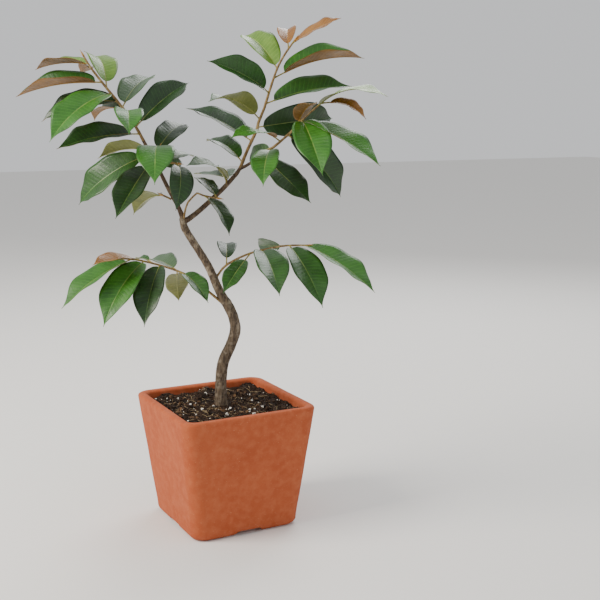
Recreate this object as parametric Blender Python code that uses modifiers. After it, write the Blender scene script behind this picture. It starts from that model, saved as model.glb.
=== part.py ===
"""Potted star apple tree, young and leggy, in a square terracotta pot.

Sizes are millimetres and angles are degrees. The pot stands on z = 0, with the
origin at the middle of its underside. The plant is described in the crown frame,
where x runs to the right and y runs to the back of the plant's best side, and an
empty then turns all of it over the pot.
"""
import math
import bpy
import bmesh
from mathutils import Vector
from mathutils.bvhtree import BVHTree

MM = 0.001
GAP = 0.3
CROWN_TURN = -27.8

# Pot, a tapered square with rounded corners
POT_HEIGHT = 157
POT_RIM_SIDE = 180
POT_BASE_SIDE = 142
POT_WALL = 11.5
POT_FLOOR = 14
POT_CORNER_RADIUS = 17
POT_CORNER_STEPS = 5
CAVITY_CORNER_RADIUS = 9
FOOT_ROUNDING = 7
CAVITY_FOOT_ROUNDING = 5
LIP_ROUNDING = 4
ROUNDING_STEPS = 3
CLEAR_PAST = 8

# Drainage notch under the middle of each side, with a channel to a hole
NOTCH_FOOT_WIDTH = 43
NOTCH_TOP_WIDTH = 31
NOTCH_HEIGHT = 6
DRAIN_OFFSET = 32
DRAIN_RADIUS = 7
DRAIN_SIDES = 16

# Soil, low hills with a flat place under the trunk
SOIL_LEVEL = 149
SOIL_HILL = 2.2
SOIL_WAVES = (0.11, 0.09)
SOIL_CROSS_WAVE = (0.21, 0.17)
SOIL_CROSS_SHARE = 0.6
SOIL_GRID_SIDE = 196
SOIL_GRID_STEPS = 14
SOIL_FLAT_RADIUS = 26
SOIL_BLEND = 16
SOIL_PEAK = (-27, 42)
SOIL_PEAK_HEIGHT = 5
SOIL_PEAK_RADIUS = 20

# Trunk and boughs: waypoints (x, y, z, radius) in the crown frame
TRUNK = (
    (-4, 0, 141, 9.6), (-4, 0, 150, 8.8), (-4, -1, 162, 7.6), (-4, -1, 182, 7.2),
    (0, -2, 207, 7.2), (9, -3, 227, 6.8), (15, -4, 247, 6.8), (13, -4, 263, 6.4),
    (6, -3, 279, 6.4), (-4, -2, 296, 5.6), (-18, 0, 328, 4.9), (-37, 2, 359, 4.6),
    (-47, 3, 376, 4.6), (-49, 4, 386, 4.4),
)
LEFT_LIMB = (
    (-48, 4, 382, 3.4), (-53, 1, 400, 2.9), (-65, -6, 425, 2.5), (-75, -12, 448, 2.3),
    (-87, -18, 473, 2.1), (-100, -23, 500, 1.9), (-116, -26, 524, 1.7),
    (-132, -30, 545, 1.5), (-149, -34, 568, 1.3), (-157, -36, 582, 1.1),
)
LEFT_BOUGH_SHARE = 0.485
RIGHT_BOUGH = (
    (-48, 4, 383, 3.6), (-33, 7, 393, 3.3), (-5, 12, 418, 2.9), (16, 15, 440, 2.6),
    (23, 16, 450, 2.3),
)
UPPER_RIGHT_LIMB = (
    (22, 16, 448, 2.3), (31, 14, 470, 2.0), (44, 10, 497, 1.9), (46, 9, 506, 1.8),
    (53, 6, 522, 1.7), (58, 4, 538, 1.6), (69, 0, 569, 1.4), (79, -1, 587, 1.3),
    (90, -3, 602, 1.1),
)
RIGHT_ARM_LIMB = (
    (22, 16, 448, 2.2), (35, 10, 455, 1.9), (50, 4, 467, 1.8), (64, 0, 475, 1.7),
    (86, -8, 494, 1.5), (97, -12, 506, 1.4), (109, -16, 517, 1.2), (122, -20, 528, 1.1),
)
RIGHT_ARM_SHARE = 0.2

# Stems and twigs of the masses
FORK_SPRIG_STEM = (
    (-48, 2, 386, 1.5), (-46, -1, 395, 1.3), (-42, -6, 407, 1.2), (-35, -9, 415, 1.1),
    (-30, -10, 420, 1.1), (-22, -11, 417, 1.1), (-12, -12, 415, 1.1), (-5, -13, 414, 1.1),
)
INNER_STEM = ((5, 12, 429, 1.4), (6, 13, 433, 1.3), (5.5, 13, 438, 1.2))
BOUGH_LEAF_STEM = ((-62, -5, 412, 1.3), (-66, -8, 414, 1.2), (-71, -10, 417, 1.1))
LEFT_MID_STEM = (
    (-76, -12, 450, 1.5), (-78, -18, 457, 1.4), (-79, -20, 466, 1.3), (-75, -18, 473, 1.2),
)
LEFT_MID_LEFT = ((-78, -17, 458, 1.2), (-86, -15, 460, 1.2), (-94, -12, 464, 1.1))
LEFT_MID_RIGHT = ((-77, -16, 455, 1.2), (-66, -13, 457, 1.2), (-53, -14, 456, 1.1))
LOW_LEFT_STEM = (
    (0, -3, 281, 1.8), (-15, -7, 295, 1.6), (-31, -10, 309, 1.5), (-46, -13, 320, 1.4),
    (-70, -18, 330, 1.3), (-93, -23, 337, 1.2), (-112, -28, 342, 1.1),
)
LOW_RIGHT_STEM = (
    (-10, -1, 311, 1.7), (2, 2, 327, 1.5), (20, 1, 338, 1.4), (40, -1, 346, 1.3),
    (67, -1, 352, 1.2), (82, 0, 354, 1.2), (107, 2, 354, 1.1),
)

# Leaf blade, a blunt base and a drawn-out drip tip
BLADE_RATIO = 0.44
BLADE_THICKNESS = 1.2
BLADE_ROWS = (0, 0.07, 0.22, 0.42, 0.64, 0.84, 1)
BLADE_END_HALF_WIDTH = 0.9
WIDTH_POWER = 0.42
TIP_START = 0.42
TIP_POWER = 2.0
PETIOLE_ROOT_RADIUS = 1.2
PETIOLE_END_RADIUS = 0.9
PETIOLE_SINK = 0.07

# How finely limbs are drawn
SPLINE_PIECES = 16
TUBE_STEP = 9
TRUNK_STEP = 8
TRUNK_ROUNDNESS = 4
BOUGH_ROUNDNESS = 2
TWIG_ROUNDNESS = 1

# Leaf rows: limb, share along it, petiole, heading, rise, roll, length, fold, arch, twist.
# Heading 0 points right, 90 to the back and 270 to the front.
LEFT_TOP_LEAVES = (
    (0, 0.92, 4, 155, -5, -5, 75, 25, 25, 0),
    (0, 0.7, 8, 175, -10, -15, 100, 35, 25, 0),
    (0, 0.88, 12, 115, -10, 20, 45, 25, 30, 0),
    (0, 0.63, 10, 115, 20, 10, 90, 15, 70, 0),
    (0, 0.56, 7, 235, -30, -15, 110, 15, 45, 0),
    (0, 0.46, 3, 180, -15, -35, 95, 20, 50, 0),
    (0, 0.39, 10, 75, 20, 0, 95, 20, 35, 0),
    (0, 0.16, 10, 50, 30, 30, 95, 30, 30, 0),
    (0, 0.32, 13, 280, -20, -5, 80, 15, 60, 0),
    (0, 0.37, 5, 135, -15, -25, 60, 30, 55, 0),
    (0, 0.08, 11, 210, -10, -30, 95, 25, 25, 0),
)
LEFT_MID_LEAVES = (
    (0, 0.89, 16, 160, -10, 25, 70, 25, 40, 0),
    (0, 0.98, 4, 70, 20, 15, 80, 15, 45, 0),
    (0, 1.0, 16, 275, -25, 0, 100, 5, 75, 0),
    (1, 1.0, 4, 165, -35, -60, 105, 20, 45, 0),
    (1, 0.33, 15, 250, -35, -10, 95, 25, 10, 0),
    (2, 1.0, 14, 270, -50, -25, 70, 15, 80, 0),
    (2, 0.39, 14, 65, 0, 15, 55, 10, 40, 0),
    (2, 0.07, 3, 60, 0, 65, 45, 20, 30, 0),
)
BOUGH_LEAVES = ((0, 1.0, 11, 130, -25, 10, 70, 25, 45, 0),)
FORK_SPRIG_LEAVES = (
    (0, 1.0, 6, 125, 20, 5, 55, 10, 40, 0),
    (0, 0.77, 8, 305, -40, -15, 65, 20, 40, 0),
)
INNER_LEAVES = (
    (0, 0.38, 5, 230, 15, -20, 75, 5, 80, 0),
    (0, 0.52, 11, 95, 5, 10, 60, 20, 30, 0),
    (0, 1.0, 8, 130, 0, -5, 65, 10, 10, 0),
)
RIGHT_TOP_LEAVES = (
    (0, 0.98, 4, 325, 20, 35, 70, 10, 15, 0),
    (0, 0.93, 10, 90, 20, -10, 60, 25, 45, 0),
    (0, 0.77, 6, 120, 25, -15, 95, 25, 45, 0),
    (0, 0.7, 15, 15, 10, 15, 105, 40, 35, 0),
    (0, 0.59, 12, 220, 20, -70, 90, 40, 35, 0),
    (0, 0.51, 11, 10, 10, 30, 100, 25, 25, 0),
    (0, 0.39, 10, 230, 10, 10, 85, 20, 60, -50),
    (0, 0.22, 9, 145, 20, -10, 105, 20, 20, 0),
    (0, 0.05, 9, 130, 15, -10, 75, 20, 50, 0),
    (0, 0.33, 7, 35, 5, 80, 110, 30, 50, 0),
)
RIGHT_ARM_LEAVES = (
    (0, 0.21, 12, 265, -30, 5, 80, 15, 45, 0),
    (0, 0.07, 12, 320, -35, 25, 85, 10, 5, 0),
    (0, 0.71, 6, 285, -35, 10, 105, 20, 30, 0),
    (0, 0.47, 5, 35, -45, 80, 110, 30, 40, 0),
    (0, 0.69, 9, 325, -25, 5, 115, 20, 20, 5),
    (0, 0.63, 8, 290, 20, 5, 60, 15, 40, 0),
    (0, 0.95, 4, 330, 5, 10, 95, 5, 65, -5),
    (0, 1.0, 12, 350, -25, 25, 50, 20, 65, 0),
    (0, 0.35, 11, 220, 0, -15, 70, 5, 60, -30),
    (0, 0.25, 8, 125, -20, -70, 50, 20, 30, 0),
    (0, 0.27, 6, 50, 30, -60, 45, 20, 30, 0),
)
LOW_LEFT_LEAVES = (
    (0, 0.97, 8, 215, -30, -5, 100, 20, 25, 0),
    (0, 0.86, 4, 235, -45, -15, 100, 15, 50, 0),
    (0, 0.71, 3, 260, -45, 5, 90, 20, 30, 0),
    (0, 0.54, 13, 95, -40, -10, 70, 15, 30, 0),
    (0, 0.51, 10, 310, -30, 10, 60, 25, 45, 0),
    (0, 0.53, 14, 120, 0, -10, 80, 25, 20, 0),
    (0, 0.9, 10, 230, 0, -10, 65, 20, 25, 0),
    (0, 0.77, 11, 130, -5, -10, 30, 25, 40, 0),
)
LOW_RIGHT_LEAVES = (
    (0, 0.18, 13, 95, 10, 5, 60, 15, 55, 0),
    (0, 0.44, 15, 240, -35, -15, 60, 15, 15, 0),
    (0, 0.55, 5, 285, -25, 0, 100, 25, 35, 0),
    (0, 0.82, 6, 300, -40, 5, 100, 20, 30, 0),
    (0, 0.97, 4, 335, -30, 10, 105, 20, 25, 0),
    (0, 0.79, 12, 120, -5, -100, 60, 30, 20, 0),
)


def clear_scene():
    for obj in list(bpy.data.objects):
        bpy.data.objects.remove(obj, do_unlink=True)


def new_collection(name):
    collection = bpy.data.collections.new(name)
    bpy.context.scene.collection.children.link(collection)
    return collection


def material(name, colour, roughness):
    mat = bpy.data.materials.new(name)
    mat.use_nodes = True
    shader = mat.node_tree.nodes["Principled BSDF"]
    shader.inputs["Base Color"].default_value = (*colour, 1)
    shader.inputs["Roughness"].default_value = roughness
    shader.inputs["Metallic"].default_value = 0
    return mat


def add_object(name, mesh, collection):
    obj = bpy.data.objects.new(name, mesh)
    collection.objects.link(obj)
    return obj


def mesh_from(name, bm, collection):
    """Turn a bmesh into an object, with its faces pointing out."""
    bmesh.ops.recalc_face_normals(bm, faces=bm.faces)
    mesh = bpy.data.meshes.new(name)
    bm.to_mesh(mesh)
    bm.free()
    return add_object(name, mesh, collection)


def settle(obj):
    """Apply the modifiers of an object by taking its evaluated mesh."""
    graph = bpy.context.evaluated_depsgraph_get()
    mesh = bpy.data.meshes.new_from_object(obj.evaluated_get(graph))
    obj.modifiers.clear()
    obj.data = mesh
    return obj


def boolean(obj, operation, other=None, group=None, solver="EXACT"):
    mod = obj.modifiers.new(operation, "BOOLEAN")
    mod.operation = operation
    mod.solver = solver
    if group:
        mod.operand_type = "COLLECTION"
        mod.collection = group
    else:
        mod.object = other
    return settle(obj)


def remove(obj):
    bpy.data.objects.remove(obj, do_unlink=True)


# Pot and soil


def tapered_block(name, foot_side, top_side, foot, top, corner, rounding, collection):
    """A square block that widens upwards, with round upright corners and a round foot."""
    bm = bmesh.new()
    bmesh.ops.create_cube(bm, size=1)
    for vert in bm.verts:
        side = top_side if vert.co.z > 0 else foot_side
        height = top if vert.co.z > 0 else foot
        x = math.copysign(side / 2, vert.co.x)
        y = math.copysign(side / 2, vert.co.y)
        vert.co = Vector((x, y, height)) * MM
    upright = [e for e in bm.edges if abs(e.verts[0].co.z - e.verts[1].co.z) > MM]
    bmesh.ops.bevel(bm, geom=upright, offset=corner * MM, segments=POT_CORNER_STEPS, profile=0.5,
                    affect="EDGES")
    level = [e for e in bm.edges if all(abs(v.co.z - foot * MM) < 0.01 * MM for v in e.verts)]
    bmesh.ops.bevel(bm, geom=level, offset=rounding * MM, segments=ROUNDING_STEPS, profile=0.5,
                    affect="EDGES")
    return mesh_from(name, bm, collection)


def outer_side(height):
    return POT_BASE_SIDE + (POT_RIM_SIDE - POT_BASE_SIDE) * height / POT_HEIGHT


def cavity_block(name, inset, collection):
    """The room inside the pot, made smaller on every side by the inset."""
    foot = POT_FLOOR + inset
    top = POT_HEIGHT + CLEAR_PAST
    foot_side = outer_side(foot) - 2 * POT_WALL - 2 * inset
    top_side = outer_side(top) - 2 * POT_WALL - 2 * inset
    return tapered_block(name, foot_side, top_side, foot, top, CAVITY_CORNER_RADIUS - inset,
                         CAVITY_FOOT_ROUNDING, collection)


def notch_cutter(turn, collection):
    """A channel of trapezoid section, from outside the wall in to the drainage hole."""
    slope = (NOTCH_FOOT_WIDTH - NOTCH_TOP_WIDTH) / NOTCH_HEIGHT
    low_width = NOTCH_FOOT_WIDTH + slope * CLEAR_PAST
    bm = bmesh.new()
    bmesh.ops.create_cube(bm, size=1)
    for vert in bm.verts:
        width = NOTCH_TOP_WIDTH if vert.co.z > 0 else low_width
        height = NOTCH_HEIGHT if vert.co.z > 0 else -CLEAR_PAST
        reach = POT_BASE_SIDE / 2 + CLEAR_PAST if vert.co.x > 0 else DRAIN_OFFSET
        vert.co = Vector((reach, math.copysign(width / 2, vert.co.y), height)) * MM
    cutter = mesh_from("notch_cutter", bm, collection)
    cutter.rotation_euler.z = turn
    return cutter


def drain_cutter(turn, collection):
    bm = bmesh.new()
    bmesh.ops.create_cone(bm, cap_ends=True, segments=DRAIN_SIDES, radius1=DRAIN_RADIUS * MM,
                          radius2=DRAIN_RADIUS * MM, depth=2 * (POT_FLOOR + CLEAR_PAST) * MM)
    cutter = mesh_from("drain_cutter", bm, collection)
    cutter.location = (DRAIN_OFFSET * MM * math.cos(turn), DRAIN_OFFSET * MM * math.sin(turn), 0)
    return cutter


def make_pot(collection, scraps, mat):
    pot = tapered_block("pot", POT_BASE_SIDE, POT_RIM_SIDE, 0, POT_HEIGHT, POT_CORNER_RADIUS,
                        FOOT_ROUNDING, collection)
    cavity = cavity_block("cavity", 0, scraps)
    boolean(pot, "DIFFERENCE", cavity)
    remove(cavity)
    bm = bmesh.new()
    bm.from_mesh(pot.data)
    rim = [e for e in bm.edges if all(abs(v.co.z - POT_HEIGHT * MM) < 0.01 * MM for v in e.verts)]
    rim = [e for e in rim if any(abs(f.normal.z) < 0.9 for f in e.link_faces)]
    bmesh.ops.bevel(bm, geom=rim, offset=LIP_ROUNDING * MM, segments=ROUNDING_STEPS, profile=0.5,
                    affect="EDGES")
    bm.to_mesh(pot.data)
    bm.free()
    for quarter in range(4):
        turn = quarter * math.pi / 2
        for cutter in (notch_cutter(turn, scraps), drain_cutter(turn, scraps)):
            bpy.context.view_layer.update()
            boolean(pot, "DIFFERENCE", cutter)
            remove(cutter)
    pot.data.materials.append(mat)
    return pot


def turned(x, y):
    """A place in the crown frame, as the pot's frame has it."""
    angle = math.radians(CROWN_TURN)
    return (x * math.cos(angle) - y * math.sin(angle), x * math.sin(angle) + y * math.cos(angle))


def soil_height(x, y):
    """Low hills, one peak behind the trunk, and a flat place under its foot."""
    broad = math.sin(SOIL_WAVES[0] * x + 0.8) * math.cos(SOIL_WAVES[1] * y - 0.4)
    cross = math.sin(SOIL_CROSS_WAVE[0] * x - SOIL_CROSS_WAVE[1] * y)
    hills = SOIL_HILL * (broad + SOIL_CROSS_SHARE * cross)
    peak_x, peak_y = turned(*SOIL_PEAK)
    off_peak = math.hypot(x - peak_x, y - peak_y) / SOIL_PEAK_RADIUS
    peak = SOIL_PEAK_HEIGHT * math.exp(-off_peak ** 2)
    foot_x, foot_y = turned(TRUNK[0][0], TRUNK[0][1])
    away = math.hypot(x - foot_x, y - foot_y)
    blend = min(1, max(0, (away - SOIL_FLAT_RADIUS) / SOIL_BLEND))
    return SOIL_LEVEL + blend * (hills + peak)


def make_soil(collection, scraps, mat):
    soil = cavity_block("soil", GAP, collection)
    bm = bmesh.new()
    bmesh.ops.create_grid(bm, x_segments=SOIL_GRID_STEPS, y_segments=SOIL_GRID_STEPS,
                          size=SOIL_GRID_SIDE / 2 * MM)
    surface = list(bm.faces)
    for vert in bm.verts:
        vert.co.z = soil_height(vert.co.x / MM, vert.co.y / MM) * MM
    lifted = bmesh.ops.extrude_face_region(bm, geom=surface)["geom"]
    for vert in (item for item in lifted if isinstance(item, bmesh.types.BMVert)):
        vert.co.z = (POT_HEIGHT + 3 * CLEAR_PAST) * MM
    air = mesh_from("air", bm, scraps)
    boolean(soil, "DIFFERENCE", air)
    remove(air)
    soil.data.materials.append(mat)
    return soil


# Limbs


def smooth_route(waypoints, step):
    """Points a step apart on a smooth curve through the waypoints, each with a radius."""
    points = [Vector(p) for p in waypoints]
    points = [2 * points[0] - points[1]] + points + [2 * points[-1] - points[-2]]
    fine = []
    for before, start, end, after in zip(points, points[1:], points[2:], points[3:]):
        for k in range(SPLINE_PIECES):
            t = k / SPLINE_PIECES
            fine.append(0.5 * (2 * start + (end - before) * t
                               + (2 * before - 5 * start + 4 * end - after) * t * t
                               + (3 * start - before - 3 * end + after) * t ** 3))
    fine.append(points[-2])
    return resample(fine, step)


def resample(points, step):
    """The same route with points a near-equal step apart."""
    runs = [0.0]
    for a, b in zip(points, points[1:]):
        runs.append(runs[-1] + (b - a).xyz.length)
    count = max(2, round(runs[-1] / step) + 1)
    result = []
    k = 0
    for i in range(count):
        run = runs[-1] * i / (count - 1)
        while k < len(runs) - 2 and runs[k + 1] < run:
            k += 1
        share = (run - runs[k]) / (runs[k + 1] - runs[k])
        result.append(points[k].lerp(points[k + 1], min(1, share)))
    return result


def route_length(route):
    return sum((b - a).xyz.length for a, b in zip(route, route[1:]))


def point_at(route, share):
    """The point at a share of the route's length."""
    left = share * route_length(route)
    for a, b in zip(route, route[1:]):
        run = (b - a).xyz.length
        if left <= run:
            return a.lerp(b, left / run)
        left -= run
    return route[-1].copy()


def cut_route(route, first, last, step):
    """The stretch of a route between two shares of its length."""
    fine = resample(route, 1)
    picked = fine[round(first * (len(fine) - 1)):round(last * (len(fine) - 1)) + 1]
    return resample(picked, step)


def tube(name, route, roundness, collection):
    """A round limb along a route, as a closed mesh."""
    curve = bpy.data.curves.new(name, "CURVE")
    curve.dimensions = "3D"
    curve.bevel_depth = MM
    curve.bevel_resolution = roundness
    curve.use_fill_caps = True
    spline = curve.splines.new("POLY")
    spline.points.add(len(route) - 1)
    for point, place in zip(spline.points, route):
        point.co = (place[0] * MM, place[1] * MM, place[2] * MM, 1)
        point.radius = place[3]
    drawn = add_object(name + "_curve", curve, collection)
    graph = bpy.context.evaluated_depsgraph_get()
    mesh = bpy.data.meshes.new_from_object(drawn.evaluated_get(graph))
    remove(drawn)
    bm = bmesh.new()
    bm.from_mesh(mesh)
    bmesh.ops.remove_doubles(bm, verts=bm.verts, dist=0.001 * MM)
    return mesh_from(name, bm, collection)


def round_end(route, steps=2):
    """The route with its last point drawn out into a rounded end."""
    tip = route[-1]
    ahead = (tip - route[-2]).xyz.normalized()
    ended = list(route)
    for k in range(1, steps + 1):
        angle = math.pi / 2 * k / (steps + 0.5)
        place = tip.xyz + ahead * tip.w * math.sin(angle)
        ended.append(Vector((*place, tip.w * math.cos(angle))))
    return ended


def inflated(obj, amount, collection):
    """A copy of a limb that stands proud of it all round."""
    bm = bmesh.new()
    bm.from_mesh(obj.data)
    bm.normal_update()
    shifts = [(vert, vert.normal * amount * MM) for vert in bm.verts]
    for vert, shift in shifts:
        vert.co += shift
    return mesh_from(obj.name + "_room", bm, collection)


def cut_flat(obj, height):
    """Cut off what is below a height and close the cut with a flat face."""
    bm = bmesh.new()
    bm.from_mesh(obj.data)
    cut = bmesh.ops.bisect_plane(bm, geom=bm.verts[:] + bm.edges[:] + bm.faces[:],
                                 plane_co=(0, 0, height * MM), plane_no=(0, 0, 1), clear_inner=True)
    edges = [item for item in cut["geom_cut"] if isinstance(item, bmesh.types.BMEdge)]
    bmesh.ops.holes_fill(bm, edges=edges)
    bmesh.ops.recalc_face_normals(bm, faces=bm.faces)
    bm.to_mesh(obj.data)
    bm.free()


def seat(obj, carriers, scraps):
    """Trim the root of a limb or mass so that it meets its carriers with the gap."""
    for carrier in carriers:
        room = inflated(carrier, GAP, scraps)
        boolean(obj, "DIFFERENCE", room)
        remove(room)
    return obj


# Leaves


def leaf_frame(heading, rise, roll):
    """Directions along a leaf, to its side and out of its upper face."""
    h, r, q = (math.radians(angle) for angle in (heading, rise, roll))
    along = Vector((math.cos(h) * math.cos(r), math.sin(h) * math.cos(r), math.sin(r)))
    level = Vector((math.sin(h), -math.cos(h), 0))
    upper = level.cross(along)
    return along, level * math.cos(q) - upper * math.sin(q), upper * math.cos(q) + level * math.sin(q)


def half_width(t):
    """Half the blade's width as a share of its length, at a share of the way to the tip."""
    power = WIDTH_POWER + TIP_POWER * max(0, t - TIP_START)
    return BLADE_RATIO / 2 * max(0, math.sin(math.pi * t)) ** power


class Leaf:
    """One leaf: where its blade starts and how the blade lies."""

    def __init__(self, routes, row):
        limb, share, petiole, heading, rise, roll, length, fold, arch, twist = row
        self.along, self.side, self.upper = leaf_frame(heading, rise, roll)
        self.length = length
        self.fold = math.radians(fold)
        self.arch = math.radians(max(arch, 1))
        self.twist = math.radians(twist)
        self.root = point_at(routes[limb], share).xyz
        start = math.cos(self.arch / 2) * self.along + math.sin(self.arch / 2) * self.upper
        self.base = self.root + petiole * start

    def midrib(self, t):
        """The midrib's point and the two directions across the blade there."""
        half = self.arch / 2
        turn = half - self.arch * t
        forward = self.length * (math.sin(half) - math.sin(turn)) / self.arch
        lift = self.length * (math.cos(turn) - math.cos(half)) / self.arch
        point = self.base + forward * self.along + lift * self.upper
        normal = math.cos(turn) * self.upper - math.sin(turn) * self.along
        bend = self.twist * (t - 0.5)
        side = self.side * math.cos(bend) - normal * math.sin(bend)
        return point, side, normal * math.cos(bend) + self.side * math.sin(bend)

    def surface(self, across, t):
        """The blade's point at a share across it, from -1 to 1, and along it."""
        point, side, normal = self.midrib(t)
        reach = max(half_width(t) * self.length, BLADE_END_HALF_WIDTH)
        flat = across * math.cos(self.fold) * side
        return point + reach * (flat + abs(across) * math.sin(self.fold) * normal)


def blade(name, leaf, collection):
    bm = bmesh.new()
    rows = len(BLADE_ROWS) - 1
    bmesh.ops.create_grid(bm, x_segments=2, y_segments=rows, size=1)
    for vert in bm.verts:
        t = BLADE_ROWS[round((vert.co.y + 1) / 2 * rows)]
        vert.co = leaf.surface(vert.co.x, t) * MM
    obj = mesh_from(name, bm, collection)
    mod = obj.modifiers.new("thickness", "SOLIDIFY")
    mod.thickness = BLADE_THICKNESS * MM
    mod.offset = 0
    return settle(obj)


def petiole(name, leaf, collection):
    """The leaf's stalk, from inside the stem into the midrib."""
    sunk = leaf.midrib(PETIOLE_SINK)[0]
    route = (
        Vector((*leaf.root, PETIOLE_ROOT_RADIUS)),
        Vector((*leaf.base, PETIOLE_END_RADIUS)),
        Vector((*sunk, PETIOLE_END_RADIUS)),
    )
    return tube(name, route, TWIG_ROUNDNESS, collection)


def drop_scraps(obj):
    """Keep only the largest of the bodies that an object has."""
    bm = bmesh.new()
    bm.from_mesh(obj.data)
    bodies = []
    left = set(bm.verts)
    while left:
        body = {left.pop()}
        front = list(body)
        while front:
            vert = front.pop()
            fresh = [edge.other_vert(vert) for edge in vert.link_edges]
            fresh = [other for other in fresh if other in left]
            left.difference_update(fresh)
            body.update(fresh)
            front.extend(fresh)
        bodies.append(body)
    bodies.sort(key=len)
    scraps = [vert for body in bodies[:-1] for vert in body]
    bmesh.ops.delete(bm, geom=scraps, context="VERTS")
    bm.to_mesh(obj.data)
    bm.free()


def tree_of(obj):
    bm = bmesh.new()
    bm.from_mesh(obj.data)
    found = BVHTree.FromBMesh(bm)
    bm.free()
    return found


def make_mass(name, stems, rows, neighbours, collection, scraps, mat):
    """Stems with leaves, joined into one solid; a leaf that would touch a neighbour is left out."""
    mass = tube(name, stems[0], TWIG_ROUNDNESS, collection)
    group = new_collection(name + "_pieces")
    for number, stem in enumerate(stems[1:]):
        tube(f"{name}_twig_{number}", stem, TWIG_ROUNDNESS, group)
    walls = [tree_of(other) for other in neighbours]
    for number, row in enumerate(rows):
        leaf = Leaf(stems, row)
        leaf_blade = blade(f"{name}_blade_{number}", leaf, group)
        test = inflated(leaf_blade, GAP, scraps)
        reached = tree_of(test)
        remove(test)
        if any(reached.overlap(wall) for wall in walls):
            remove(leaf_blade)
            continue
        petiole(f"{name}_petiole_{number}", leaf, group)
    boolean(mass, "UNION", group=group, solver="MANIFOLD")
    drop_scraps(mass)
    for piece in list(group.objects):
        remove(piece)
    bpy.data.collections.remove(group)
    mass.data.materials.clear()
    mass.data.materials.append(mat)
    return mass


def bough_plans():
    """The boughs: name, route and the limbs that each one meets."""
    left = smooth_route(LEFT_LIMB, TUBE_STEP)
    right = smooth_route(RIGHT_BOUGH, TUBE_STEP)
    arm = smooth_route(RIGHT_ARM_LIMB, TUBE_STEP)
    return (
        ("left_bough", cut_route(left, 0, LEFT_BOUGH_SHARE, TUBE_STEP), ("trunk",)),
        ("right_bough", round_end(right), ("trunk", "left_bough")),
        ("right_arm", cut_route(arm, 0, RIGHT_ARM_SHARE, TUBE_STEP), ("right_bough",)),
    )


def mass_plans():
    """The masses: name, stems, leaf rows and the limbs that the first stem meets."""
    left = smooth_route(LEFT_LIMB, TUBE_STEP)
    arm = smooth_route(RIGHT_ARM_LIMB, TUBE_STEP)
    left_top_stem = cut_route(left, LEFT_BOUGH_SHARE, 1, TUBE_STEP)
    arm_stem = cut_route(arm, RIGHT_ARM_SHARE, 1, TUBE_STEP)

    def stems(*waypoint_sets):
        return [smooth_route(waypoints, TUBE_STEP) for waypoints in waypoint_sets]

    return (
        ("left_top_foliage", [left_top_stem], LEFT_TOP_LEAVES, ("left_bough",)),
        ("left_middle_foliage", stems(LEFT_MID_STEM, LEFT_MID_LEFT, LEFT_MID_RIGHT), LEFT_MID_LEAVES,
         ("left_bough",)),
        ("left_low_leaf", stems(BOUGH_LEAF_STEM), BOUGH_LEAVES, ("left_bough",)),
        ("fork_sprig", stems(FORK_SPRIG_STEM), FORK_SPRIG_LEAVES, ("trunk", "left_bough", "right_bough")),
        ("inner_foliage", stems(INNER_STEM), INNER_LEAVES, ("right_bough",)),
        ("right_top_foliage", stems(UPPER_RIGHT_LIMB), RIGHT_TOP_LEAVES, ("right_bough", "right_arm")),
        ("right_arm_foliage", [arm_stem], RIGHT_ARM_LEAVES, ("right_arm",)),
        ("low_left_foliage", stems(LOW_LEFT_STEM), LOW_LEFT_LEAVES, ("trunk",)),
        ("low_right_foliage", stems(LOW_RIGHT_STEM), LOW_RIGHT_LEAVES, ("trunk",)),
    )


def main():
    clear_scene()
    plant = new_collection("potted_star_apple_tree")
    scraps = new_collection("cutters")
    clay = material("fired_terracotta", (0.62, 0.23, 0.12), 0.85)
    earth = material("potting_soil", (0.03, 0.02, 0.015), 0.95)
    bark = material("bark", (0.13, 0.08, 0.05), 0.8)
    leaf_green = material("leaf", (0.06, 0.17, 0.03), 0.45)

    make_pot(plant, scraps, clay)
    make_soil(plant, scraps, earth)

    trunk = tube("trunk", round_end(smooth_route(TRUNK, TRUNK_STEP)), TRUNK_ROUNDNESS, plant)
    cut_flat(trunk, SOIL_LEVEL + GAP)
    limbs = {"trunk": trunk}
    for name, route, carriers in bough_plans():
        limbs[name] = tube(name, route, BOUGH_ROUNDNESS, plant)
        seat(limbs[name], [limbs[carrier] for carrier in carriers], scraps)
    for limb in limbs.values():
        limb.data.materials.clear()
        limb.data.materials.append(bark)

    masses = []
    for name, stems, rows, carriers in mass_plans():
        neighbours = list(limbs.values()) + masses
        mass = make_mass(name, stems, rows, neighbours, plant, scraps, leaf_green)
        seat(mass, [limbs[carrier] for carrier in carriers], scraps)
        drop_scraps(mass)
        masses.append(mass)

    crown = bpy.data.objects.new("crown", None)
    plant.objects.link(crown)
    crown.rotation_euler.z = math.radians(CROWN_TURN)
    for obj in list(limbs.values()) + masses:
        obj.parent = crown


main()
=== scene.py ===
"""Potted star apple tree: bark, leaves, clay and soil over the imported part.

Sizes are millimetres and angles are degrees until a mesh is made. The plant is described
in the crown frame, where x runs to the right and y to the back of its best side, and is
then turned over the pot.
"""

import math
import random

import bmesh
import bpy
from mathutils import Matrix, Vector, noise
from mathutils.bvhtree import BVHTree


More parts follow.
